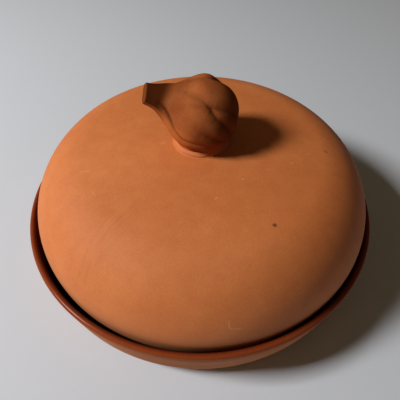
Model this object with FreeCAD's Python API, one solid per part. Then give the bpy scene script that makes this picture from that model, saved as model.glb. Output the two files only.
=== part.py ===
import FreeCAD, Part
import math
import os

# Domed terracotta garlic baker: a shallow glazed dish, a domed lid that stands inside its lip,
# and a lid knob moulded as a garlic bulb lying on its side, luted to the crown on a clay pad.
# Millimetres, +Z up. Origin: centre of the dish's foot, on the surface that it stands on.
# The stem of the knob points to -X.

# ---------------------------------------------------------------- driving dimensions
DISH_D = 200.0            # across the lip
DISH_H = 35.0             # foot to top of lip
LIP_T = 3.4               # thickness of the full-round lip
OUTER_DRAFT = 7.0         # degrees, lean of the outer wall
INNER_DRAFT = 9.0         # degrees, lean of the inner wall: the wall thickens downwards
FLOOR_T = 6.0             # thickness of the dish's floor
OUTER_CORNER_R = 14.0     # turn of the outer wall into the foot
INNER_CORNER_R = 6.0      # turn of the inner wall into the floor
FOOT_RING_W = 14.0        # width of the flat ring that the dish stands on
FOOT_RECESS = 1.2         # depth of the recess inside that ring

LID_CLEARANCE = 2.5       # gap all round between the lip and the lid when it is centred
LID_SEAT_CLEARANCE = 0.6  # from the lid's foot to the turn of the dish's inner wall
LID_OFFSET = 0.9          # the lid is loose in the lip and stands this far towards +X
LID_WALL = 6.0            # wall of the lid
LID_EDGE_R = 1.5          # rounding of the lid's foot
BULGE_LEVEL = 1.2         # height of the lid's widest circle above the lip
SHOULDER_R = 36.2         # radius of the dome's shoulder, in section
CROWN_R = 403.0           # radius of the nearly flat crown, in section

PAD_R = 15.0              # clay pad under the knob
PAD_H = 2.0
PAD_EDGE_R = 1.4

BULB_R = 18.6             # reach of the main cloves from the bulb's axis
BULB_LIFT = 13.0          # from the pad up to the middle of the bulb, which lies on a flat
BULB_TILT = 22.0          # degrees, rise of the bulb's axis towards the stem
BULB_SWING = 6.0          # degrees, turn of the stem from -X towards the back (+Y)
CORE_R = 13.5             # body behind the cloves
ROOT_R = 5.0              # root plate
ROOT_END = 17.6           # middle of the bulb to the face of the root plate
STEM_END = 30.6           # middle of the bulb to the middle of the stem's cut end
STEM_HALF = 4.1           # half width of the stem there
STEM_CORNER = 0.6         # its corner radius, as a share of the half width
STEM_CUT_TILT = 6.0       # degrees, the cut end looks this far up from -X ...
STEM_CUT_SWING = 6.0      # degrees, ... and this far to the front
CLOVE_TILT = 6.0          # degrees, lean of each clove towards the neck

# Neck from the cut end of the stem to where it dives under the cloves, as rounded squares:
# (place as a share of STEM_END, half width as a share of BULB_R, corner as a share of that)
NECK = [
    (0.74, 0.36, 0.75),
    (0.58, 0.48, 0.90),
    (0.40, 0.61, 0.95),
    (0.20, 0.68, 0.95),
]

# Cloves, by angle round the bulb's axis from the top towards the front (-Y), in degrees, and
# with the lengths as shares of BULB_R: (angle, half thickness, reach from the axis, place of
# the widest section along the axis, length from there to the root end, length from there to
# the tip at the neck, degrees by which the tip swings round the bulb)
CLOVES = [
    (63.0, 0.60, 1.00, -0.03, 0.86, 1.26, -8.0),
    (137.0, 0.52, 0.97, 0.12, 0.78, 1.10, -14.0),
    (105.0, 0.50, 1.02, -0.36, 0.54, 0.46, 0.0),
    (174.0, 0.51, 1.00, 0.00, 0.86, 1.15, -6.0),
    (-145.0, 0.54, 1.00, -0.05, 0.86, 1.20, 0.0),
    (-98.0, 0.56, 1.01, 0.00, 0.86, 1.20, 0.0),
    (-46.0, 0.48, 1.14, 0.08, 0.80, 0.72, 0.0),
    (1.0, 0.58, 1.01, -0.11, 0.78, 1.30, -3.0),
    (28.0, 0.28, 0.90, 0.42, 0.50, 0.80, -8.0),
    (36.0, 0.26, 0.96, -0.38, 0.42, 0.42, 0.0),
]

# ---------------------------------------------------------------- values worked out from them
DISH_R = DISH_D / 2
LIP_R = LIP_T / 2
LID_R = DISH_R - LIP_T - LID_CLEARANCE
BULGE_Z = DISH_H + BULGE_LEVEL
SHOULDER_X = LID_R - SHOULDER_R
CROWN_CENTRE_Z = BULGE_Z - math.sqrt((CROWN_R - SHOULDER_R) ** 2 - SHOULDER_X ** 2)
PAD_SEAT_Z = CROWN_CENTRE_Z + math.sqrt(CROWN_R ** 2 - PAD_R ** 2)
AXIS_Y = FreeCAD.Vector(0, 1, 0)
AXIS_X = FreeCAD.Vector(1, 0, 0)
AXIS_Z = FreeCAD.Vector(0, 0, 1)


def at(x, z):
    """Point of a section, which lies in the XZ plane."""
    return FreeCAD.Vector(x, 0, z)


def polar(centre, radius, degrees):
    """Point at an angle round a centre, counted from +X towards +Z."""
    angle = math.radians(degrees)
    return centre + at(radius * math.cos(angle), radius * math.sin(angle))


def turned(edges, axis=AXIS_Z):
    """Solid of revolution of a closed section."""
    face = Part.Face(Part.Wire(edges))
    return face.revolve(FreeCAD.Vector(0, 0, 0), axis, 360)


def arc(centre, radius, start, end):
    """Arc edge between two angles, in degrees."""
    middle = polar(centre, radius, (start + end) / 2)
    return Part.Arc(polar(centre, radius, start), middle, polar(centre, radius, end)).toShape()


def line(start, end):
    return Part.makeLine(start, end)


def corner_centre(start, draft, level, radius):
    """Centre of the arc that turns a leaning wall, passing through start, into a level."""
    lean = math.radians(draft)
    drop = (start.z - level - radius * (1 - math.sin(lean))) / math.cos(lean)
    return at(start.x - drop * math.sin(lean) - radius * math.cos(lean), level + radius)


# Section of the dish's wall: the lip's circle and the two corner circles.
LIP_CENTRE = at(DISH_R - LIP_R, DISH_H - LIP_R)
OUTER_TOP = polar(LIP_CENTRE, LIP_R, -OUTER_DRAFT)
INNER_TOP = polar(LIP_CENTRE, LIP_R, 180 - INNER_DRAFT)
OUTER_CORNER = corner_centre(OUTER_TOP, OUTER_DRAFT, 0, OUTER_CORNER_R)
INNER_CORNER = corner_centre(INNER_TOP, INNER_DRAFT, FLOOR_T, INNER_CORNER_R)


def make_dish():
    """Shallow dish: foot ring, leaning wall with a full-round lip, flat floor."""
    ring_outer = at(OUTER_CORNER.x, 0)
    ring_inner = at(OUTER_CORNER.x - FOOT_RING_W, 0)
    recess = at(ring_inner.x - FOOT_RECESS, FOOT_RECESS)
    outer_low = polar(OUTER_CORNER, OUTER_CORNER_R, -OUTER_DRAFT)
    inner_low = polar(INNER_CORNER, INNER_CORNER_R, -INNER_DRAFT)
    edges = [
        line(at(0, FOOT_RECESS), recess),
        line(recess, ring_inner),
        line(ring_inner, ring_outer),
        arc(OUTER_CORNER, OUTER_CORNER_R, -90, -OUTER_DRAFT),
        line(outer_low, OUTER_TOP),
        arc(LIP_CENTRE, LIP_R, -OUTER_DRAFT, 90),
        arc(LIP_CENTRE, LIP_R, 90, 180 - INNER_DRAFT),
        line(INNER_TOP, inner_low),
        arc(INNER_CORNER, INNER_CORNER_R, -INNER_DRAFT, -90),
        line(at(INNER_CORNER.x, FLOOR_T), at(0, FLOOR_T)),
        line(at(0, FLOOR_T), at(0, FOOT_RECESS)),
    ]
    return turned(edges)


def make_lid():
    """Dome of even wall: flat seat for the pad, crown, shoulder, and a skirt that turns in
    to a flat foot with rounded edges on the dish's floor."""
    foot_x = INNER_CORNER.x - LID_SEAT_CLEARANCE - LID_OFFSET
    skirt_in = LID_R - foot_x
    skirt_h = BULGE_Z - FLOOR_T
    skirt_r = (skirt_in ** 2 + skirt_h ** 2) / (2 * skirt_in)
    skirt = at(LID_R - skirt_r, BULGE_Z)
    shoulder = at(SHOULDER_X, BULGE_Z)
    crown = at(0, CROWN_CENTRE_Z)
    join = 90 - math.degrees(math.asin(SHOULDER_X / (CROWN_R - SHOULDER_R)))
    seat = math.degrees(math.acos(PAD_R / CROWN_R))
    inner_skirt_r = skirt_r - LID_WALL
    inner_apex = at(0, CROWN_CENTRE_Z + CROWN_R - LID_WALL)
    edge_h = skirt_h - LID_EDGE_R
    outer_turn = -math.degrees(math.asin(edge_h / (skirt_r - LID_EDGE_R)))
    inner_turn = -math.degrees(math.asin(edge_h / (inner_skirt_r + LID_EDGE_R)))
    outer_edge = polar(skirt, skirt_r - LID_EDGE_R, outer_turn)
    inner_edge = polar(skirt, inner_skirt_r + LID_EDGE_R, inner_turn)
    edges = [
        line(at(0, PAD_SEAT_Z), at(PAD_R, PAD_SEAT_Z)),
        arc(crown, CROWN_R, seat, join),
        arc(shoulder, SHOULDER_R, join, 0),
        arc(skirt, skirt_r, 0, outer_turn),
        arc(outer_edge, LID_EDGE_R, outer_turn, -90),
        line(at(outer_edge.x, FLOOR_T), at(inner_edge.x, FLOOR_T)),
        arc(inner_edge, LID_EDGE_R, -90, -180 + inner_turn),
        arc(skirt, inner_skirt_r, inner_turn, 0),
        arc(shoulder, SHOULDER_R - LID_WALL, 0, join),
        arc(crown, CROWN_R - LID_WALL, join, 90),
        line(inner_apex, at(0, PAD_SEAT_Z)),
    ]
    return turned(edges)


def make_luting_pad():
    """Low round pad of clay that bonds the knob to the crown."""
    pad = Part.makeCylinder(PAD_R, PAD_H, at(0, PAD_SEAT_Z))
    top = [e for e in pad.Edges if e.BoundBox.ZMin > PAD_SEAT_Z + PAD_H / 2]
    return pad.makeFillet(PAD_EDGE_R, top)


def quarter_arc(half, length):
    """Arc from (length, 0) to the widest point (0, half) of a section, level there."""
    radius = (half ** 2 + length ** 2) / (2 * half)
    middle = at(length / 2, half - radius + math.sqrt(radius ** 2 - length ** 2 / 4))
    return Part.Arc(at(length, 0), middle, at(0, half)).toShape()


def lemon(half, root_length, tip_length):
    """Pointed solid of revolution about X, widest at the origin."""
    edges = [
        quarter_arc(half, -root_length),
        quarter_arc(half, tip_length),
        line(at(tip_length, 0), at(-root_length, 0)),
    ]
    return turned(edges, AXIS_X)


def make_clove(angle, half, reach, place, root_length, tip_length, swing):
    """One clove of the bulb, whose axis is X: it leans in to the neck at its tip."""
    clove = lemon(half * BULB_R, root_length * BULB_R, tip_length * BULB_R)
    clove.rotate(at(0, 0), AXIS_Y, CLOVE_TILT)
    clove.rotate(at(0, 0), AXIS_Z, swing)
    clove.translate(at(place * BULB_R, (reach - half) * BULB_R))
    clove.rotate(at(0, 0), AXIS_X, -angle)
    return clove


def neck_section(place, half, corner):
    """Rounded square across the bulb's axis, with its flats up, down and to the sides."""
    flat = half - corner
    middle = FreeCAD.Vector(place, flat, flat)
    start = middle + FreeCAD.Vector(0, corner, 0)
    through = middle + FreeCAD.Vector(0, corner, corner) * math.sqrt(0.5)
    end = middle + FreeCAD.Vector(0, 0, corner)
    after = FreeCAD.Vector(place, -flat, half)
    edges = []
    for quarter in range(4):
        turn = FreeCAD.Rotation(AXIS_X, 90 * quarter)
        edges.append(Part.Arc(*[turn.multVec(p) for p in (start, through, end)]).toShape())
        edges.append(line(turn.multVec(end), turn.multVec(after)))
    return Part.Wire(edges)


def make_neck():
    """Dried neck of the bulb: flares from the stem into the cloves. It runs on past the place
    of the cut, which trims it, at the same slope."""
    waist_place = NECK[0][0] * STEM_END
    waist_half = NECK[0][1] * BULB_R
    past = STEM_HALF
    past_half = STEM_HALF - past * (waist_half - STEM_HALF) / (STEM_END - waist_place)
    sections = [
        neck_section(STEM_END + past, past_half, STEM_CORNER * past_half),
        neck_section(STEM_END, STEM_HALF, STEM_CORNER * STEM_HALF),
    ]
    for place, half, corner in NECK:
        half_width = half * BULB_R
        sections.append(neck_section(place * STEM_END, half_width, corner * half_width))
    return Part.makeLoft(sections, True, False)


def pointing(tilt, swing):
    """Rotation that turns +X to -X, tilted up and swung towards the back, in degrees. It turns
    +Y to the front, and +Z stays uppermost."""
    return FreeCAD.Rotation(AXIS_Z, 180 - swing) * FreeCAD.Rotation(AXIS_Y, -tilt)


def beyond(point, rotation):
    """Large block that starts at a point and lies on the turned +X side of it."""
    size = 4 * STEM_END
    block = Part.makeBox(size, size, size, FreeCAD.Vector(0, -size / 2, -size / 2))
    block.Placement = FreeCAD.Placement(point, rotation)
    return block


def make_knob():
    """Garlic bulb lying on its side: cloves round a core, root plate, neck, stem with a cut
    end, and the flat on which it sits on the pad."""
    core = lemon(CORE_R, ROOT_END, STEM_END - CORE_R)
    root = Part.makeCylinder(ROOT_R, ROOT_END / 2, at(-ROOT_END, 0), AXIS_X)
    cloves = [make_clove(*values) for values in CLOVES]
    knob = core.multiFuse(cloves + [root, make_neck()])
    middle = at(0, BULB_LIFT)
    to_stem = pointing(BULB_TILT, BULB_SWING)
    knob.Placement = FreeCAD.Placement(middle, to_stem)
    stem_end = middle + to_stem.multVec(at(STEM_END, 0))
    past_cut = beyond(stem_end, pointing(STEM_CUT_TILT, -STEM_CUT_SWING))
    under_flat = beyond(at(0, 0), FreeCAD.Rotation(AXIS_Y, 90))
    knob = knob.cut([past_cut, under_flat]).removeSplitter()
    knob.translate(at(0, PAD_SEAT_Z + PAD_H))
    return knob


def build():
    """Writes one STEP file for each piece, in the assembled place."""
    os.makedirs("parts", exist_ok=True)
    pieces = {"dish": make_dish()}
    for name, make in (("lid", make_lid), ("luting_pad", make_luting_pad), ("knob", make_knob)):
        piece = make()
        piece.translate(at(LID_OFFSET, 0))
        pieces[name] = piece
    for name, shape in pieces.items():
        shape.exportStep(os.path.join("parts", name + ".step"))
        box = shape.optimalBoundingBox(False)
        print(name, "valid", shape.isValid(), "solids", len(shape.Solids), "faces", len(shape.Faces),
              "volume cm3 %.1f" % (shape.Volume / 1000), "z %.2f to %.2f" % (box.ZMin, box.ZMax),
              "x %.2f to %.2f" % (box.XMin, box.XMax))


build()
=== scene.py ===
import math
import bpy
import numpy as np
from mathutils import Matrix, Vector


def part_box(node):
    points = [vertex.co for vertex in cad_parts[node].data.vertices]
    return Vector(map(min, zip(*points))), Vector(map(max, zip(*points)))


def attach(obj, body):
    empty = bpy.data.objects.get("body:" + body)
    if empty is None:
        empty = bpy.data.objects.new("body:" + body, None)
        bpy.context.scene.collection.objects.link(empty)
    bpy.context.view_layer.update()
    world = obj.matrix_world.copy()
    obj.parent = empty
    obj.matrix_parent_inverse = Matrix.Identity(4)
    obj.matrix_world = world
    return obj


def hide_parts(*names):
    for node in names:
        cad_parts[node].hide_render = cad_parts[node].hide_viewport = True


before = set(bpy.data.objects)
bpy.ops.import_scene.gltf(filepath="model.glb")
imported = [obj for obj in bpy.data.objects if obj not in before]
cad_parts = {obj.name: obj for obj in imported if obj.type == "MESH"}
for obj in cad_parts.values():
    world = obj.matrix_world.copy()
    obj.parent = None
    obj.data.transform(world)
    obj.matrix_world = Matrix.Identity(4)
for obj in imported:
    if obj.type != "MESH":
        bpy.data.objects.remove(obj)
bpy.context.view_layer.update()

# Domed terracotta garlic baker. Metres, +Z up, the dish's foot on the floor at the origin.
MM = 0.001


# ------------------------------------------------------------------------------- dish
# Shallow saucer of red earthenware, slip-cast in a plaster mould and glazed inside in a
# clear honey-brown, which runs thin over the lip. The outside was left bare.

DISH_LOW, DISH_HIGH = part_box("dish")
DISH_R = DISH_HIGH[0]
DISH_H = DISH_HIGH[2]
LIP_R = 1.7 * MM
FLOOR_T = 6.0 * MM
OUTER_DRAFT = 10.0
INNER_DRAFT = 9.0
OUTER_CORNER_R = 16.0 * MM
INNER_CORNER_R = 6.0 * MM
FOOT_RING_W = 14.0 * MM
FOOT_RECESS = 1.2 * MM
DISH_WARP = 0.0035                      # share of its radius by which drying draws the lip in
AROUND = 384                            # points in a ring
GLAZE_EDGE = np.array([0.94, 0.34])     # direction on the lip's round in which the glaze ends


def arc(centre, radius, start, end, count):
    """Points of a section on a circle, from one angle to another in degrees, ends included."""
    angle = np.radians(np.linspace(start, end, count))
    return np.stack([centre[0] + radius * np.cos(angle), centre[1] + radius * np.sin(angle)], axis=1)


def on_round(centre, radius, degrees):
    """One point of a section on a circle."""
    return arc(centre, radius, degrees, degrees, 1)[0]


def straight(start, end, count):
    """Points of a section on a straight line, without its two ends."""
    share = np.linspace(0, 1, count + 2)[1:-1, None]
    return np.asarray(start) + share * (np.asarray(end) - np.asarray(start))


def turn_into_level(start, draft, level, radius):
    """Centre of the arc that turns a leaning wall, which passes through start, into a level."""
    lean = math.radians(draft)
    drop = (start[1] - level - radius * (1 - math.sin(lean))) / math.cos(lean)
    return start[0] - drop * math.sin(lean) - radius * math.cos(lean), level + radius


def spin(section, around=AROUND):
    """Rings of points: each point (r, z) of the section goes to (r cos a, r sin a, z)."""
    angle = np.linspace(0, 2 * math.pi, around, endpoint=False)
    radius, height = section[:, :1], section[:, 1:]
    flat = np.zeros_like(angle)
    return np.stack([radius * np.cos(angle), radius * np.sin(angle), height + flat], axis=-1)


def skin(name, rings, first, last):
    """Closed smooth object: rings of points (ring, place round it, xyz) joined by quads, and
    each end closed by a fan of triangles to a pole."""
    count, around = rings.shape[:2]
    index = 1 + np.arange(count * around).reshape(count, around)
    ahead = np.roll(index, -1, axis=1)
    quads = np.stack([index[:-1], ahead[:-1], ahead[1:], index[1:]], axis=-1).reshape(-1, 4)
    end = np.full(around, 1 + count * around)
    low_fan = np.stack([np.zeros(around, int), ahead[0], index[0]], axis=-1)
    high_fan = np.stack([end, index[-1], ahead[-1]], axis=-1)
    points = np.concatenate([[first], rings.reshape(-1, 3), [last]])
    mesh = bpy.data.meshes.new(name)
    mesh.from_pydata(points.tolist(), [], quads.tolist() + low_fan.tolist() + high_fan.tolist())
    mesh.polygons.foreach_set("use_smooth", np.ones(len(mesh.polygons), bool))
    mesh.update()
    piece = bpy.data.objects.new(name, mesh)
    bpy.context.scene.collection.objects.link(piece)
    return piece


def dish_section():
    """Half section from the middle of the foot, out and up the wall, over the lip, and in to
    the middle of the floor: arcs for the turns and the full-round lip, straights between."""
    lip = (DISH_R - LIP_R, DISH_H - LIP_R)
    outer_top = on_round(lip, LIP_R, -OUTER_DRAFT)
    inner_top = on_round(lip, LIP_R, 180 - INNER_DRAFT)
    outer_turn = turn_into_level(outer_top, OUTER_DRAFT, 0, OUTER_CORNER_R)
    inner_turn = turn_into_level(inner_top, INNER_DRAFT, FLOOR_T, INNER_CORNER_R)
    ring_inner = outer_turn[0] - FOOT_RING_W
    outer_arc = arc(outer_turn, OUTER_CORNER_R, -90, -OUTER_DRAFT, 28)
    inner_arc = arc(inner_turn, INNER_CORNER_R, -INNER_DRAFT, -90, 20)
    recess_edge = (ring_inner - FOOT_RECESS, FOOT_RECESS)
    return np.concatenate([
        straight((0, FOOT_RECESS), recess_edge, 8),
        arc((recess_edge[0], 0.6 * FOOT_RECESS), 0.4 * FOOT_RECESS, 90, 30, 4),
        arc((ring_inner, 0.5 * FOOT_RECESS), 0.5 * FOOT_RECESS, 210, 270, 5),
        straight((ring_inner, 0), outer_arc[0], 8),
        outer_arc,
        straight(outer_arc[-1], outer_top, 16),
        arc(lip, LIP_R, -OUTER_DRAFT, 180 - INNER_DRAFT, 26),
        straight(inner_top, inner_arc[0], 16),
        inner_arc,
        straight(inner_arc[-1], (0, FLOOR_T), 20),
    ])


def make_dish():
    """The section spun round, then warped a little by drying: the wall is drawn in by up to
    0.35 mm in slow waves that grow with the height above the floor. Faces up to the outer edge
    of the lip take the second material."""
    section = dish_section()
    rings = spin(section)
    angle = np.arctan2(rings[..., 1], rings[..., 0])
    rise = np.clip((rings[..., 2] - FLOOR_T) / (DISH_H - FLOOR_T), 0, 1)
    wave = (2 - np.cos(2 * angle + 0.7) - np.cos(3 * angle - 1.1)) / 4
    rings[..., :2] *= (1 - DISH_WARP * rise * wave)[..., None]
    piece = skin("glazed_dish", rings, (0, 0, FOOT_RECESS), (0, 0, FLOOR_T))
    edge = np.array([DISH_R - LIP_R, DISH_H - LIP_R]) + GLAZE_EDGE * LIP_R
    last_bare = int(np.argmin(np.hypot(*(section - edge).T)))
    bare = np.zeros(len(piece.data.polygons), int)
    bare[:last_bare * AROUND] = 1
    foot_fan = slice(-2 * AROUND, -AROUND)      # the two fans come last, the foot's first
    bare[foot_fan] = 1
    piece.data.polygons.foreach_set("material_index", bare)
    return piece


def linear(colour):
    """Linear RGBA of an sRGB colour written as hex."""
    values = np.array([int(colour[i:i + 2], 16) for i in (1, 3, 5)]) / 255
    values = np.where(values <= 0.04045, values / 12.92, ((values + 0.055) / 1.055) ** 2.4)
    return (*values.tolist(), 1.0)


def add(tree, kind, settings=None, links=None):
    """Adds a node. A key of settings is one of its properties, or the name or number of a
    socket. A key of links is a socket, and its value is the output that feeds it."""
    item = tree.nodes.new(kind)
    for key, value in (settings or {}).items():
        if isinstance(key, str) and hasattr(item, key):
            setattr(item, key, value)
        else:
            item.inputs[key].default_value = value
    for key, output in (links or {}).items():
        tree.links.new(output, item.inputs[key])
    return item


def new_material(name):
    """Empty material with its surface shader and the piece's own coordinates."""
    material = bpy.data.materials.new(name)
    material.use_nodes = True
    tree = material.node_tree
    shader = tree.nodes["Principled BSDF"]
    place = add(tree, "ShaderNodeTexCoord").outputs["Object"]
    return material, tree, shader, place


# Node that mixes two colours, and the numbers of its sockets.
MIX = "ShaderNodeMix"
RGBA = {"data_type": "RGBA"}
FACTOR, FIRST, SECOND = 0, 6, 7
MIXED = 2


def honey_glaze():
    """Transparent brown glaze on red earthenware: a dark, saturated red-brown under gloss, lighter
    where it thins to the outer edge of the lip, with a faint orange peel. The dark inner side of the
    lip is also painted shade, for the inner wall that faces away from the lamp."""
    material, tree, shader, place = new_material("honey_brown_glaze_on_earthenware")
    level = add(tree, "ShaderNodeVectorMath", {"operation": "MULTIPLY", 1: (1, 1, 0)},
                {0: place}).outputs["Vector"]
    radius = add(tree, "ShaderNodeVectorMath", {"operation": "LENGTH"}, {0: level}).outputs["Value"]
    cloud = add(tree, "ShaderNodeTexNoise", {"Scale": 1 / (30 * MM), "Detail": 3.0},
                {"Vector": place}).outputs["Fac"]
    speck = add(tree, "ShaderNodeTexNoise", {"Scale": 1 / (1.2 * MM), "Detail": 2.0},
                {"Vector": place}).outputs["Fac"]
    body = add(tree, "ShaderNodeValToRGB", links={"Fac": cloud})
    body.color_ramp.elements[0].position = 0.35
    body.color_ramp.elements[0].color = linear("#4a1407")
    body.color_ramp.elements[1].position = 0.65
    body.color_ramp.elements[1].color = linear("#591a0a")
    # Lighter towards the outer edge of the lip: partly the glaze thinning there, partly painted shade
    # on the darker inner side.
    thin = add(tree, "ShaderNodeMapRange",
               {"From Min": DISH_R - 2 * LIP_R, "From Max": DISH_R - 0.9 * MM},
               {"Value": radius}).outputs["Result"]
    lip = add(tree, MIX, {**RGBA, SECOND: linear("#8c401e")},
              {FACTOR: thin, FIRST: body.outputs["Color"]})
    grain = add(tree, MIX, {**RGBA, "blend_type": "SOFT_LIGHT", FACTOR: 0.25},
                {FIRST: lip.outputs[MIXED], SECOND: speck})
    tree.links.new(grain.outputs[MIXED], shader.inputs["Base Color"])
    peel = add(tree, "ShaderNodeTexNoise", {"Scale": 1 / (4 * MM), "Detail": 2.0},
               {"Vector": place}).outputs["Fac"]
    bump = add(tree, "ShaderNodeBump", {"Strength": 0.12, "Distance": 0.4 * MM}, {"Height": peel})
    tree.links.new(bump.outputs["Normal"], shader.inputs["Normal"])
    shader.inputs["Roughness"].default_value = 0.2
    shader.inputs["IOR"].default_value = 1.5
    shader.inputs["Specular IOR Level"].default_value = 0.1
    return material


def bare_outside():
    """The outside of the dish, sponged smooth and left bare: dry, dusty red clay, browner in a narrow
    band under the lip, a painted shade where the top of the wall catches less of the floor's sheen
    than lower down."""
    material, tree, shader, place = new_material("bare_earthenware")
    height = add(tree, "ShaderNodeSeparateXYZ", links={"Vector": place}).outputs["Z"]
    band = add(tree, "ShaderNodeMapping", {"Scale": (1, 1, 5)}, {"Vector": place})
    cloud = add(tree, "ShaderNodeTexNoise", {"Scale": 1 / (40 * MM), "Detail": 4.0},
                {"Vector": band.outputs["Vector"]}).outputs["Fac"]
    body = add(tree, "ShaderNodeValToRGB", links={"Fac": cloud})
    body.color_ramp.elements[0].position = 0.35
    body.color_ramp.elements[0].color = linear("#b66d40")
    body.color_ramp.elements[1].position = 0.65
    body.color_ramp.elements[1].color = linear("#c27c4c")
    # Painted shade: a browner band under the lip, where the wall catches less of the floor's sheen.
    painted_sheen_shade = add(tree, "ShaderNodeMapRange",
                  {"From Min": DISH_H - 8 * MM, "From Max": DISH_H - 2.5 * MM, "To Max": 0.8},
                  {"Value": height}).outputs["Result"]
    under = add(tree, MIX, {**RGBA, SECOND: linear("#984e28")},
                {FACTOR: painted_sheen_shade, FIRST: body.outputs["Color"]})
    grain = add(tree, "ShaderNodeTexNoise", {"Scale": 1 / (0.9 * MM), "Detail": 3.0},
                {"Vector": place}).outputs["Fac"]
    grained = add(tree, MIX, {**RGBA, "blend_type": "SOFT_LIGHT", FACTOR: 0.22},
                  {FIRST: under.outputs[MIXED], SECOND: grain})
    tree.links.new(grained.outputs[MIXED], shader.inputs["Base Color"])
    bump = add(tree, "ShaderNodeBump", {"Strength": 0.2, "Distance": 0.2 * MM}, {"Height": grain})
    tree.links.new(bump.outputs["Normal"], shader.inputs["Normal"])
    shader.inputs["Roughness"].default_value = 0.75
    shader.inputs["Specular IOR Level"].default_value = 0.15
    return material


dish = make_dish()
dish.data.materials.append(honey_glaze())
dish.data.materials.append(bare_outside())
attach(dish, "dish")
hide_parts("dish")


# -------------------------------------------------------------------------------- lid
# Dome of the same clay, slip-cast in one piece with an even wall and left unglazed. It is
# fettled with a wet sponge, which leaves slow swells, and stands loose in the dish on the
# rounded foot of its skirt.

LID_LOW, LID_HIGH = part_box("lid")
LID_X = (LID_LOW[0] + LID_HIGH[0]) / 2
LID_R = (LID_HIGH[0] - LID_LOW[0]) / 2
LID_TOP = LID_HIGH[2]
LID_FOOT = LID_LOW[2]
LID_WALL = 6.0 * MM
LID_EDGE_R = 1.5 * MM
BULGE_Z = DISH_H + 1.2 * MM
SHOULDER_R = 36.2 * MM
CROWN_R = 403.0 * MM
PAD_LOW, PAD_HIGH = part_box("luting_pad")
PAD_R = (PAD_HIGH[0] - PAD_LOW[0]) / 2
SEAT_CLEARANCE = 1.5 * MM
LID_SWELL = 0.3 * MM
LID_FULLNESS = 0.9 * MM
LID_CLAY = ("#cb7035", "#cf7539", "#d67c41")     # where it fired dark, middling and light


def lid_section():
    """Half section from the middle of the ceiling, down the inside, round the foot, and up the
    outside to the flat seat of the pad: concentric arcs for skirt, shoulder and crown."""
    lip_in = on_round((DISH_R - LIP_R, DISH_H - LIP_R), LIP_R, 180 - INNER_DRAFT)
    floor_turn = turn_into_level(lip_in, INNER_DRAFT, FLOOR_T, INNER_CORNER_R)
    foot_r = floor_turn[0] - SEAT_CLEARANCE
    skirt_in = LID_R - foot_r
    skirt_h = BULGE_Z - LID_FOOT
    skirt_r = (skirt_in ** 2 + skirt_h ** 2) / (2 * skirt_in)
    skirt = (LID_R - skirt_r, BULGE_Z)
    inner_r = skirt_r - LID_WALL
    shoulder = (LID_R - SHOULDER_R, BULGE_Z)
    crown = (0, BULGE_Z - math.sqrt((CROWN_R - SHOULDER_R) ** 2 - shoulder[0] ** 2))
    join = 90 - math.degrees(math.asin(shoulder[0] / (CROWN_R - SHOULDER_R)))
    seat = math.degrees(math.acos(PAD_R / CROWN_R))
    edge_h = skirt_h - LID_EDGE_R
    outer_turn = -math.degrees(math.asin(edge_h / (skirt_r - LID_EDGE_R)))
    inner_turn = -math.degrees(math.asin(edge_h / (inner_r + LID_EDGE_R)))
    outer_edge = on_round(skirt, skirt_r - LID_EDGE_R, outer_turn)
    inner_edge = on_round(skirt, inner_r + LID_EDGE_R, inner_turn)
    return np.concatenate([
        arc(crown, CROWN_R - LID_WALL, 89.9, join, 26),
        arc(shoulder, SHOULDER_R - LID_WALL, join, 0, 34)[1:],
        arc(skirt, inner_r, 0, inner_turn, 20)[1:],
        arc(inner_edge, LID_EDGE_R, -180 + inner_turn, -90, 9)[1:],
        arc(outer_edge, LID_EDGE_R, -90, outer_turn, 9),
        arc(skirt, skirt_r, outer_turn, 0, 28)[1:],
        arc(shoulder, SHOULDER_R, 0, join, 48)[1:],
        arc(crown, CROWN_R, join, seat, 40)[1:],
        straight((PAD_R, LID_TOP), (0, LID_TOP), 6),
    ])


def make_lid():
    """The section spun round, with slow swells drawn in by up to 0.3 mm, as sponging leaves
    them, and the skirt 0.9 mm fuller to the front, where the drying dome spread. Where the wall
    is drawn in, the dome also sinks a little. All of it fades to nothing at the foot and at the
    seat of the pad."""
    rings = spin(lid_section())
    angle = np.arctan2(rings[..., 1], rings[..., 0])
    radius = np.hypot(rings[..., 0], rings[..., 1])
    rise = np.clip((rings[..., 2] - LID_FOOT) / (20 * MM), 0, 1)
    away = np.clip((radius - PAD_R) / (20 * MM), 0, 1)
    wave = (3 - np.cos(2 * angle + 2.1) - np.cos(3 * angle + 0.4)
            - np.cos(5 * angle + 90 * radius)) / 6
    fuller = np.exp(-((rings[..., 2] - BULGE_Z) / (16 * MM)) ** 2) * np.cos(angle / 2 + 0.81) ** 6
    drawn_in = rise * away * (LID_SWELL * wave - LID_FULLNESS * fuller)
    rings[..., :2] *= (1 - drawn_in / np.maximum(radius, MM))[..., None]
    rings[..., 2] -= 0.4 * np.maximum(drawn_in, 0) * rise
    rings[..., 0] += LID_X
    ceiling = LID_TOP - LID_WALL
    return skin("terracotta_lid", rings, (LID_X, 0, ceiling), (LID_X, 0, LID_TOP))


def stroke(tree, place, start, end, width):
    """Mask of 1 along a straight stroke between two points, in metres, fading over its width:
    the distance from the point to the segment."""
    start = np.array(start)
    along = np.array(end) - start
    length = float(np.linalg.norm(along))
    offset = add(tree, "ShaderNodeVectorMath", {"operation": "SUBTRACT", 1: start.tolist()},
                 {0: place}).outputs["Vector"]
    share = add(tree, "ShaderNodeVectorMath",
                {"operation": "DOT_PRODUCT", 1: (along / length ** 2).tolist()},
                {0: offset}).outputs["Value"]
    held = add(tree, "ShaderNodeClamp", links={"Value": share}).outputs["Result"]
    foot = add(tree, "ShaderNodeVectorMath", {"operation": "SCALE", 0: along.tolist()},
               {"Scale": held}).outputs["Vector"]
    distance = add(tree, "ShaderNodeVectorMath", {"operation": "DISTANCE"},
                   {0: offset, 1: foot}).outputs["Value"]
    return add(tree, "ShaderNodeMapRange",
               {"interpolation_type": "SMOOTHSTEP", "From Min": width, "From Max": 0.2 * width},
               {"Value": distance}).outputs["Result"]


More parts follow.
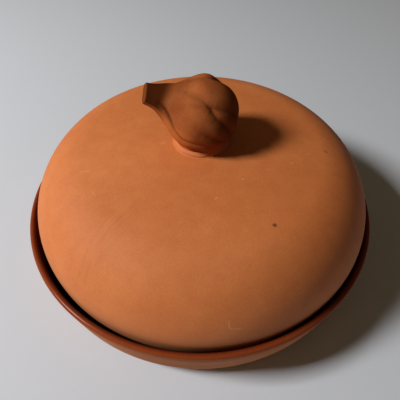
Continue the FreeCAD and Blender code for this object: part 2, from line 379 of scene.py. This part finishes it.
# Flecks in the clay: size as a share of a cell, width of a cell, colour, and the share of the
# cells that have none. The first are iron spots, the others grains of pale grog.
FLECKS = [
    (0.045, 9 * MM, "#6b3515", 0.75),
    (0.035, 7 * MM, "#f0b88c", 0.6),
]


def bisque_terracotta(name, dark, middle, light, mottling=0.18):
    """Unglazed red clay, dry to the eye: soft clouds from the kiln, a grain that is drawn near a
    millimetre, coarser than the real one, so that it shows, flecks, and a slight tooth."""
    material, tree, shader, place = new_material(name)
    cloud = add(tree, "ShaderNodeTexNoise", {"Scale": 1 / (55 * MM), "Detail": 4.0,
                                             "Roughness": 0.55}, {"Vector": place}).outputs["Fac"]
    body = add(tree, "ShaderNodeValToRGB", links={"Fac": cloud})
    ramp = body.color_ramp
    ramp.elements[0].position = 0.3
    ramp.elements[0].color = linear(dark)
    ramp.elements[1].position = 0.7
    ramp.elements[1].color = linear(light)
    ramp.elements.new(0.5).color = linear(middle)
    mottle = add(tree, "ShaderNodeTexNoise", {"Scale": 1 / (7 * MM), "Detail": 5.0},
                 {"Vector": place}).outputs["Fac"]
    grain = add(tree, "ShaderNodeTexNoise", {"Scale": 1 / (0.9 * MM), "Detail": 3.0},
                {"Vector": place}).outputs["Fac"]
    marked = add(tree, MIX, {**RGBA, "blend_type": "SOFT_LIGHT", FACTOR: mottling},
                 {FIRST: body.outputs["Color"], SECOND: mottle})
    grained = add(tree, MIX, {**RGBA, "blend_type": "SOFT_LIGHT", FACTOR: 0.24},
                  {FIRST: marked.outputs[MIXED], SECOND: grain})
    colour = grained.outputs[MIXED]
    for size, gap, tint, empty in FLECKS:
        cell = add(tree, "ShaderNodeTexVoronoi", {"Scale": 1 / gap, "Randomness": 1.0},
                   {"Vector": place})
        spot = add(tree, "ShaderNodeMapRange", {"From Min": size, "From Max": 0.4 * size},
                   {"Value": cell.outputs["Distance"]}).outputs["Result"]
        chance = add(tree, "ShaderNodeSeparateColor", links={"Color": cell.outputs["Color"]})
        some = add(tree, "ShaderNodeMath", {"operation": "GREATER_THAN", 1: empty},
                   {0: chance.outputs["Red"]}).outputs[0]
        shown = add(tree, "ShaderNodeMath", {"operation": "MULTIPLY"}, {0: spot, 1: some})
        faint = add(tree, "ShaderNodeMath", {"operation": "MULTIPLY", 1: 0.45},
                    {0: shown.outputs[0]}).outputs[0]
        colour = add(tree, MIX, {**RGBA, SECOND: linear(tint)},
                     {FACTOR: faint, FIRST: colour}).outputs[MIXED]
    tooth = add(tree, "ShaderNodeMath", {"operation": "MULTIPLY_ADD", 1: 0.6},
                {0: mottle, 2: grain}).outputs[0]
    bump = add(tree, "ShaderNodeBump", {"Strength": 0.22, "Distance": 0.25 * MM},
               {"Height": tooth})
    tree.links.new(bump.outputs["Normal"], shader.inputs["Normal"])
    tree.links.new(colour, shader.inputs["Base Color"])
    shader.inputs["Roughness"].default_value = 0.72
    shader.inputs["IOR"].default_value = 1.5
    return material, tree, shader, place, colour


# Pale scratches on the lid: runs of points from the origin, in mm, and the width of the mark.
SCRATCHES = [
    (((-60.1, -19.6, 71.9), (-57.6, -19.3, 72.3), (-56.0, -19.2, 72.5)), 0.5),
    (((-52.2, -33.0, 72.2), (-50.2, -35.8, 72.2)), 0.45),
    (((12.4, -90.2, 52.0), (12.6, -91.5, 49.0), (13.6, -91.9, 48.1), (17.6, -91.3, 47.6)), 0.6),
    (((-20.5, -3.0, 76.4), (-18.3, -2.0, 76.6)), 0.5),
    (((46.2, -15.8, 74.1), (47.2, -15.0, 74.1)), 0.6),
    (((7.2, -40.3, 75.0), (8.0, -39.5, 75.0)), 0.7),
    (((20.4, -28.4, 75.5), (21.2, -27.8, 75.5)), 0.6),
]

# A soot speck and a faint stain: place from the origin and width in mm, strength, and colour.
SPOTS = [
    ((33.4, -53.6, 72.1), 1.4, 0.8, "#4a2410"),
    ((66.8, -3.7, 71.5), 1.8, 0.4, "#7a4220"),
]


def lid_clay():
    """The lid's own clay: worn by use, with a few pale scratches, a soot speck, a faint stain and a
    rubbed patch of fine strokes down the left shoulder, and painted bounce light from the pale floor,
    which turns it a little greyer round the skirt, where it stands in the dish."""
    made = bisque_terracotta("unglazed_terracotta", *LID_CLAY)
    material, tree, shader, place, colour = made
    height = add(tree, "ShaderNodeSeparateXYZ", links={"Vector": place}).outputs["Z"]
    # Painted bounce light: a greyer, paler tint down the skirt, for the light the pale floor throws
    # up on it.
    floor_bounce_tint = add(tree, "ShaderNodeMapRange",
                 {"From Min": BULGE_Z + 9 * MM, "From Max": BULGE_Z - 8 * MM, "To Max": 0.9},
                 {"Value": height}).outputs["Result"]
    colour = add(tree, MIX, {**RGBA, SECOND: linear("#b9784e")},
                 {FACTOR: floor_bounce_tint, FIRST: colour}).outputs[MIXED]

    patch = stroke(tree, place, (-40 * MM, -52 * MM, 71 * MM), (-51 * MM, -66 * MM, 59 * MM),
                   17 * MM)
    down = add(tree, "ShaderNodeMapping", {"vector_type": "TEXTURE",
                                           "Rotation": (0, 0, math.radians(52)),
                                           "Scale": (14, 1, 6)}, {"Vector": place})
    strokes = add(tree, "ShaderNodeTexNoise", {"Scale": 1 / (2.2 * MM), "Detail": 3.0},
                  {"Vector": down.outputs["Vector"]}).outputs["Fac"]
    fine = add(tree, "ShaderNodeMapRange", {"From Min": 0.45, "From Max": 0.75, "To Max": 0.3},
               {"Value": strokes}).outputs["Result"]
    rubbed = add(tree, "ShaderNodeMath", {"operation": "MULTIPLY"}, {0: patch, 1: fine})
    colour = add(tree, MIX, {**RGBA, SECOND: linear("#a9602f")},
                 {FACTOR: rubbed.outputs[0], FIRST: colour}).outputs[MIXED]

    for points, width in SCRATCHES:
        for start, end in zip(points[:-1], points[1:]):
            mark = stroke(tree, place, [v * MM for v in start], [v * MM for v in end], width * MM)
            pale = add(tree, "ShaderNodeMath", {"operation": "MULTIPLY", 1: 0.28},
                       {0: mark}).outputs[0]
            colour = add(tree, MIX, {**RGBA, SECOND: linear("#e8b48c")},
                         {FACTOR: pale, FIRST: colour}).outputs[MIXED]

    for spot, size, strength, tint in SPOTS:
        at = [v * MM for v in spot]
        mark = stroke(tree, place, at, [at[0] + 0.3 * MM, at[1], at[2]], size * MM)
        held = add(tree, "ShaderNodeMath", {"operation": "MULTIPLY", 1: strength},
                   {0: mark}).outputs[0]
        colour = add(tree, MIX, {**RGBA, SECOND: linear(tint)},
                     {FACTOR: held, FIRST: colour}).outputs[MIXED]
    tree.links.new(colour, shader.inputs["Base Color"])
    return material


lid = make_lid()
lid.data.materials.append(lid_clay())
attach(lid, "lid")
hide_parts("lid")


# ------------------------------------------------------------------------- luting pad
# Low pad of the lid's own clay, wetted and pressed between crown and knob to bond them. Its
# edge was smoothed down on to the crown with a finger.

PAD_H = PAD_HIGH[2] - PAD_LOW[2]
PAD_FOOT_W = 0.8 * MM       # hollow foot of its edge
PAD_FOOT_H = 0.5 * MM
ROLL_R = 12.9 * MM          # roll of clay round the bulb
ROLL_W = 0.7 * MM
ROLL_H = 0.5 * MM


def make_luting_pad():
    """Ogee edge spun round: hollow where it runs out on the crown, full above, with a low
    roll squeezed up against the bulb. The radius varies by a few percent in uneven waves, as
    a finger leaves it, and is largest to the left and front."""
    foot = np.linspace(0, 1, 10)
    out_r = PAD_R - PAD_FOOT_W * np.sin(foot * math.pi / 2)
    out_z = PAD_FOOT_H * (1 - np.cos(foot * math.pi / 2))
    edge = np.stack([out_r, out_z], axis=1)
    round_r = PAD_H - PAD_FOOT_H
    shoulder = arc((edge[-1, 0] - round_r, PAD_FOOT_H), round_r, 0, 90, 14)[1:]
    section = np.concatenate([
        straight((0, 0), edge[0], 4),
        edge,
        shoulder,
        straight(shoulder[-1], (0, PAD_H), 16),
    ])
    rings = spin(section, 192)
    angle = np.arctan2(rings[..., 1], rings[..., 0])
    radius = np.hypot(rings[..., 0], rings[..., 1])
    roll = np.exp(-((radius - ROLL_R) / ROLL_W) ** 2) * (rings[..., 2] > 0.9 * PAD_H)
    rings[..., 2] += ROLL_H * roll * (1 + 0.4 * np.sin(4 * angle + 1.0))
    wave = np.cos(3 * angle + 0.5) + np.cos(5 * angle + 2.0) + 0.6 * np.cos(8 * angle)
    rings[..., :2] *= (1.0 + 0.04 * np.cos(angle + 2.7) + 0.008 * wave)[..., None]
    rings += np.array([LID_X, 0, PAD_LOW[2]])
    return skin("clay_pad", rings, (LID_X, 0, PAD_LOW[2]), (LID_X, 0, PAD_HIGH[2]))


pad = make_luting_pad()
pad.data.materials.append(bisque_terracotta("luting_clay", *LID_CLAY)[0])
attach(pad, "lid")
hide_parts("luting_pad")


# ------------------------------------------------------------------------------- knob
# Garlic bulb lying on its side, press-moulded in solid clay, rubbed with a dark iron slip and cleaned
# back, so that the cloves are lighter than the grooves, the neck and the stem; painted crease shade
# deepens the grooves, and painted bounce light from the lid lightens the lower front. The stem was
# cut through with a wire.

BULB_LIFT = 13.0 * MM
BULB_TILT = 22.0
BULB_SWING = 6.0
BULB_R = 18.3 * MM
ROOT_END = 17.6 * MM
STEM_END = 30.4 * MM
STEM_R = 4.7 * MM
NECK_LENGTH = 18.0 * MM
CUT_TILT = 16.0
CUT_SWING = -8.0
CUT_EDGE_R = 0.6 * MM
CUT_HOLLOW = 0.35 * MM
CUT_SLIP = 0.65             # how dark the slip left the cut end, from 0 to 1
SEAT_SOFTNESS = 0.3 * MM
SPOKES = 360                # points in a ring

# Grooves between the cloves, each a run of points (mm along the axis towards the stem, degrees round
# it from the top towards the front), its depth at its two ends and the width of a flank, in mm, and
# how much slip and painted crease shade darken it, from 0 to 1.
GROOVES = [
    (((24, 62), (20, 73), (17, 83), (15, 91), (13, 100), (11, 106), (6, 110), (2, 107), (-3, 103),
      (-9, 101), (-17, 103)), 1.7, 0.3, 3.8, 1.0),
    (((16.5, 6), (13, 17), (10.5, 23), (8, 26), (4, 30), (1.5, 34), (-1, 38)), 0.8, 1.5, 6.5, 0.3),
    (((16.5, 55), (12.5, 49), (8, 44), (4, 41), (-1, 38)), 0.5, 1.2, 6.0, 0.15),
    (((2, 37), (-1, 38), (-3, 44), (-5, 49), (-8, 52), (-11, 57), (-15, 69)), 1.8, 1.6, 6.0, 0.4),
    (((2, 37), (-1, 37), (-4, 34), (-8, 31), (-10, 29), (-13, 23), (-17, 12)), 1.6, 1.5, 5.5, 0.3),
    (((1, 80), (-3, 80), (-7, 83), (-10, 86), (-14, 95), (-17, 104)), 0.7, 1.4, 5.0, 0.4),
    (((21, -46), (17, -32), (12.5, -23), (9.7, -20), (6, -20), (2.6, -23), (-1.5, -30), (-7, -38),
      (-17, -44)), 1.0, 1.9, 5.0, 0.4),
    (((19, -84), (12, -76), (0, -74), (-10, -76), (-17, -80)), 1.6, 1.6, 6.0, 0.5),
    (((20, -125), (12, -118), (0, -120), (-10, -124), (-17, -130)), 1.6, 1.6, 6.0, 0.5),
    (((20, 190), (12, 186), (0, 188), (-10, 192), (-17, 200)), 1.6, 1.6, 6.0, 0.5),
    (((20, 150), (12, 152), (0, 152), (-10, 150), (-17, 148)), 1.6, 1.6, 6.0, 0.5),
]


def direction(tilt, swing):
    """Unit vector to -X, tilted up and swung to the back, in degrees."""
    tilt, swing = math.radians(tilt), math.radians(swing)
    return np.array([-math.cos(tilt) * math.cos(swing), math.cos(tilt) * math.sin(swing),
                     math.sin(tilt)])


def bulb_reach(along, angle):
    """Distance from the axis before the grooves: (1 - x^2.4)^(1/2.4) on the root side, and
    exp(-x^2.5) falling to the stem on the other, with the back clove standing higher and the
    neck fuller on top than below."""
    to_root = np.clip(-along / ROOT_END, 0, 1)
    to_stem = np.maximum(along, 0) / NECK_LENGTH
    root_side = (1 - to_root ** 2.4) ** (1 / 2.4)
    fade = np.exp(-to_stem ** 2.5)
    back = np.exp(-((np.mod(angle + math.radians(222), 2 * math.pi) - math.pi) / 0.62) ** 2)
    swell = 1 + back * (0.09 + 0.084 * np.exp(-((along - 7 * MM) / (8 * MM)) ** 2))
    bent = 1 + 0.13 * np.cos(angle + math.radians(36)) * np.exp(-((along - 24 * MM) / (5 * MM)) ** 2)
    return (STEM_R + (BULB_R * swell - STEM_R) * fade) * root_side * bent


def stem_shape(along, angle):
    """Factor that squares the section off towards the cut end: 0.97 over (|cos|^n + |sin|^n) to
    the power 1/n, where n grows from 2 to 3.4, with a flat face up and to the front."""
    power = np.interp(along, [12 * MM, STEM_END], [2.0, 3.4])
    cosine, sine = np.abs(np.cos(angle - 0.75)), np.abs(np.sin(angle - 0.75))
    return 0.97 / (cosine ** power + sine ** power) ** (1 / power)


def groove_depth(along, angle, reach):
    """Valley of each groove, depth (1 - d / w)^2 at a distance d from its line, softened at the
    crease and fading at its first end. Where grooves meet the deepest counts, and a quarter of the
    rest. Also gives how dark the crease is made, from 0 to 1: slip left there together with painted
    crease shade."""
    depth = np.zeros_like(reach)
    slip = np.zeros_like(reach)
    for points, first_depth, last_depth, flank, crease_dark_share in GROOVES:
        line = np.array(points, float) * np.array([MM, math.pi / 180])
        nearest = np.full(reach.shape, 1.0)
        place = np.zeros_like(reach)
        total = 0.0
        for (s0, a0), (s1, a1) in zip(line[:-1], line[1:]):
            turn = np.mod(angle - a0 + math.pi, 2 * math.pi) - math.pi
            across, side = (a1 - a0) * reach, turn * reach
            share = ((along - s0) * (s1 - s0) + side * across) / ((s1 - s0) ** 2 + across ** 2)
            share = np.clip(share, 0, 1)
            off = np.hypot(along - s0 - share * (s1 - s0), side - share * across)
            place = np.where(off < nearest, total + share, place)
            nearest = np.minimum(nearest, off)
            total += 1.0
        deep = first_depth + (last_depth - first_depth) * place / total
        deep = deep * np.clip(place / 1.3, 0, 1)
        apart = np.sqrt(nearest ** 2 + (0.35 * MM) ** 2) / (flank * MM)
        valley = deep * np.maximum(1 - apart, 0) ** 2
        depth = np.maximum(depth, valley) + 0.25 * np.minimum(depth, valley)
        # Slip left in the crease, deepened by painted crease shade.
        slip_and_shade = crease_dark_share * deep / max(first_depth, last_depth)
        slip = np.maximum(slip, slip_and_shade * np.exp(-(nearest / (0.25 * flank * MM)) ** 2))
    return depth * MM, np.clip(slip, 0, 1)


def ease(value):
    """0 below 0, 1 above 1, x^2 (3 - 2x) between."""
    value = np.clip(value, 0, 1)
    return value ** 2 * (3 - 2 * value)


def make_knob():
    """Points at a reach from a leaning axis, ring by ring from the root plate to the cut end.
    The last rings slide along the axis to an oblique plane, which a cap closes, and what would lie
    below the pad's top is pressed flat on it. Each point also carries how dark slip and painted
    crease shade make its groove, how dark the dipped neck and root are there, and how much painted
    bounce light from the lid lightens the lower front."""
    axis = direction(BULB_TILT, BULB_SWING)
    up = np.array([0, 0, 1]) - axis[2] * axis
    up /= np.linalg.norm(up)
    front = np.cross(up, axis)
    middle = np.array([LID_X, 0, PAD_HIGH[2] + BULB_LIFT])
    angle = np.linspace(0, 2 * math.pi, SPOKES, endpoint=False)
    spoke = np.cos(angle)[:, None] * up + np.sin(angle)[:, None] * front

    cut = direction(CUT_TILT, CUT_SWING)
    rim_reach = STEM_R * stem_shape(np.full_like(angle, STEM_END), angle)
    to_cut = STEM_END - rim_reach * (spoke @ cut) / (axis @ cut)
    root_cap = -ROOT_END * np.cos(np.linspace(0.05, 0.7, 30))
    body = np.linspace(root_cap[-1], 0.6 * STEM_END, 170)[1:]
    share = np.linspace(0, 1, 60)[1:, None]
    stem = body[-1] + share * (to_cut - CUT_EDGE_R - body[-1])
    bulb = np.concatenate([root_cap, body])
    along = np.concatenate([np.repeat(bulb[:, None], SPOKES, 1), stem])
    turned = np.broadcast_to(angle, along.shape)
    reach = bulb_reach(along, turned) * stem_shape(along, turned)
    deep, groove = groove_depth(along, turned, reach)
    ripple = (np.sin(7 * turned + 310 * along) + np.sin(11 * turned - 420 * along)
              + np.sin(240 * along + 4 * turned)) / 3
    reach = reach - np.minimum(deep, 0.5 * reach) - 0.08 * MM * (1 + ripple) * reach / BULB_R

    rings = middle + along[..., None] * axis + reach[..., None] * spoke
    turn = np.linspace(0, math.pi / 2, 7)[1:]
    rim = rings[-1]
    inward = middle + STEM_END * axis - rim
    inward /= np.linalg.norm(inward, axis=1)[:, None]
    edge = [rim + CUT_EDGE_R * (np.sin(t) * axis + (1 - np.cos(t)) * inward) for t in turn]
    centre = edge[-1].mean(axis=0)
    cap = [centre + q * (edge[-1] - centre) - CUT_HOLLOW * (1 - q ** 4) * cut
           for q in np.linspace(1, 0, 12)[1:-1]]
    rings = np.concatenate([rings, edge, cap])
    above = (rings[..., 2] - PAD_HIGH[2]) / SEAT_SOFTNESS
    rings[..., 2] = PAD_HIGH[2] + SEAT_SOFTNESS * np.logaddexp(0, above)
    knob = skin("garlic_bulb_knob", rings, middle - ROOT_END * axis, centre - CUT_HOLLOW * cut)

    dipped = (0.72 * ease((along - 17 * MM) / (6 * MM)) + 0.28 * ease((along - 8 * MM) / (10 * MM))
              + 0.55 * ease((4 * MM - along) / (15 * MM)))
    # Painted bounce light: the lower front of the bulb, facing the lid, is made lighter, and the dark
    # neck paler there.
    below = ease((np.cos(turned - math.radians(128)) - 0.78) / 0.15)
    lid_bounce_light = below * ease((along + 2 * MM) / (6 * MM)) * ease((22 * MM - along) / (8 * MM))
    dipped = dipped * (1 - 0.6 * below)
    end_rings = np.ones((len(edge) + len(cap), SPOKES))
    marks = [("groove", groove, 0), ("dipped", dipped, CUT_SLIP), ("lid_bounce_light", lid_bounce_light, 0)]
    for name, values, at_end in marks:
        values = np.concatenate([values, at_end * end_rings])
        shade = knob.data.attributes.new(name, "FLOAT", "POINT")
        shade.data.foreach_set("value", np.concatenate([[0], values.ravel(), [at_end]]))
    return knob


def slip_rubbed_clay():
    """Terracotta under a thin iron slip: brown on the cloves, near black-brown where the slip stayed
    in the grooves, deepened there by painted crease shade, and on the neck, lighter on the lower
    front with painted bounce light from the lid, still quite dull."""
    made = bisque_terracotta("iron_slip_on_terracotta", "#96502a", "#a4592f", "#b06539", 0.45)
    material, tree, shader, _, colour = made
    groove = add(tree, "ShaderNodeAttribute", {"attribute_name": "groove"}).outputs["Fac"]
    dipped = add(tree, "ShaderNodeAttribute", {"attribute_name": "dipped"}).outputs["Fac"]
    lid_bounce_light = add(tree, "ShaderNodeAttribute", {"attribute_name": "lid_bounce_light"}).outputs["Fac"]
    # Painted bounce light from the lid: the lower front mixed towards the lid's own clay colour.
    bare = add(tree, "ShaderNodeMath", {"operation": "MULTIPLY", 1: 0.6}, {0: lid_bounce_light}).outputs[0]
    lighter = add(tree, MIX, {**RGBA, SECOND: linear("#cf7539")},
                  {FACTOR: bare, FIRST: colour}).outputs[MIXED]
    necked = add(tree, MIX, {**RGBA, SECOND: linear("#47200c")}, {FACTOR: dipped, FIRST: lighter})
    # Near black-brown in the grooves: the slip there, deepened with painted crease shade.
    deep = add(tree, "ShaderNodeMath", {"operation": "MULTIPLY", 1: 0.8}, {0: groove})
    grooved = add(tree, MIX, {**RGBA, SECOND: linear("#2a0f04")},
                  {FACTOR: deep.outputs[0], FIRST: necked.outputs[MIXED]})
    tree.links.new(grooved.outputs[MIXED], shader.inputs["Base Color"])
    shader.inputs["Roughness"].default_value = 0.85
    shader.inputs["Specular IOR Level"].default_value = 0.0
    return material


knob = make_knob()
knob.data.materials.append(slip_rubbed_clay())
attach(knob, "lid")
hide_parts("knob")


# ------------------------------------------------------------------ floor and lights
# Plain pale floor, one square lamp like a small window, halfway up on the left, a dim warm
# room round it, and a pale backdrop.

def make_floor():
    """Large square in the plane of the foot."""
    mesh = bpy.data.meshes.new("pale_floor")
    reach = 4.0
    mesh.from_pydata([(-reach, -reach, 0), (reach, -reach, 0), (reach, reach, 0), (-reach, reach, 0)],
                     [], [(0, 1, 2, 3)])
    piece = bpy.data.objects.new("pale_floor", mesh)
    bpy.context.scene.collection.objects.link(piece)
    material, _, shader, _ = new_material("matt_white_paper")
    shader.inputs["Base Color"].default_value = linear("#d2d6dc")
    shader.inputs["Roughness"].default_value = 0.95
    mesh.materials.append(material)


def make_lamp(name, towards, distance, size, power):
    """Square area lamp in a direction from the dish, facing it."""
    lamp = bpy.data.lights.new(name, "AREA")
    lamp.shape = "SQUARE"
    lamp.size = size
    lamp.energy = power
    item = bpy.data.objects.new(name, lamp)
    bpy.context.scene.collection.objects.link(item)
    aim = np.array([0, 0, 0.5 * DISH_H])
    towards = np.array(towards) / np.linalg.norm(towards)
    item.location = aim + distance * towards
    item.rotation_euler = Vector(-towards).to_track_quat("-Z", "Y").to_euler()


def make_surround():
    """Dim warm room that fills the shadows. Past the floor the camera, and it alone, sees a pale
    backdrop instead."""
    world = bpy.data.worlds.new("surround")
    world.use_nodes = True
    tree = world.node_tree
    room = tree.nodes["Background"]
    room.inputs["Color"].default_value = linear("#ffe4b8")
    room.inputs["Strength"].default_value = 0.07
    backdrop = add(tree, "ShaderNodeBackground", {"Color": linear("#d2d6dc"), "Strength": 0.6})
    seen = add(tree, "ShaderNodeLightPath").outputs["Is Camera Ray"]
    choice = add(tree, "ShaderNodeMixShader",
                 links={0: seen, 1: room.outputs["Background"], 2: backdrop.outputs["Background"]})
    tree.links.new(choice.outputs["Shader"], tree.nodes["World Output"].inputs["Surface"])
    bpy.context.scene.world = world


make_floor()
make_lamp("window", towards=(-0.86, -0.18, 0.84), distance=1.2, size=0.25, power=13.6)
make_surround()
bpy.context.scene.view_settings.view_transform = "Standard"


# ----------------------------------------------------------------------------- camera
# Hand-held view from the front, steeply down. It is close enough to show strong perspective,
# and looks a little below the middle of the lip.

CAMERA_AWAY = 2.428 * DISH_R    # from the middle of the lip
CAMERA_RISE = 47.61             # degrees above the lip's plane
CAMERA_DOWN = 48.67             # degrees below level that it looks


def make_camera():
    """Wide lens 24 cm from the middle of the lip, looking down at it from the front."""
    camera = bpy.data.cameras.new("camera")
    camera.sensor_width = 36.0
    camera.lens = 36.0
    item = bpy.data.objects.new("camera", camera)
    bpy.context.scene.collection.objects.link(item)
    rise = math.radians(CAMERA_RISE)
    down = math.radians(CAMERA_DOWN)
    item.location = (0, -CAMERA_AWAY * math.cos(rise), DISH_H + CAMERA_AWAY * math.sin(rise))
    look = Vector((0, math.cos(down), -math.sin(down)))
    item.rotation_euler = look.to_track_quat("-Z", "Y").to_euler()
    bpy.context.scene.camera = item


make_camera()
